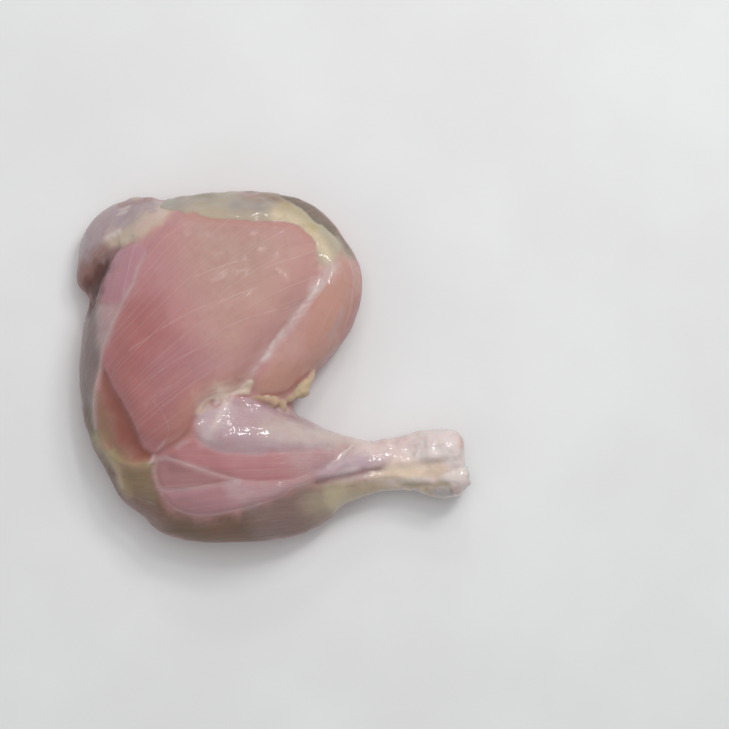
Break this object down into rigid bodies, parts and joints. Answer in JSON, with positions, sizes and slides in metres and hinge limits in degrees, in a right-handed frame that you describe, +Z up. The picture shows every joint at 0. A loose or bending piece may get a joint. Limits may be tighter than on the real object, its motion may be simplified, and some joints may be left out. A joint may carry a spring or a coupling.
{
  "type": "skinless chicken leg quarter",
  "caption": "Raw skinless chicken leg quarter, thigh and drumstick folded at the knee and lying flat, with moist muscle, pale sinew and bits of fat.",
  "frame": {"origin": "on the resting plane, under the middle of the piece's bounding box", "axes": "+X along the drumstick from the knee to the hock, +Y from the drumstick to the hip, +Z up from the surface that the piece lies on"},
  "size_m": [0.1476, 0.131, 0.0392],
  "materials": {
    "meat": "moist raw meat"
  },
  "bodies": {
    "root": {"leg_quarter": "meat"}
  },
  "joints": []
}
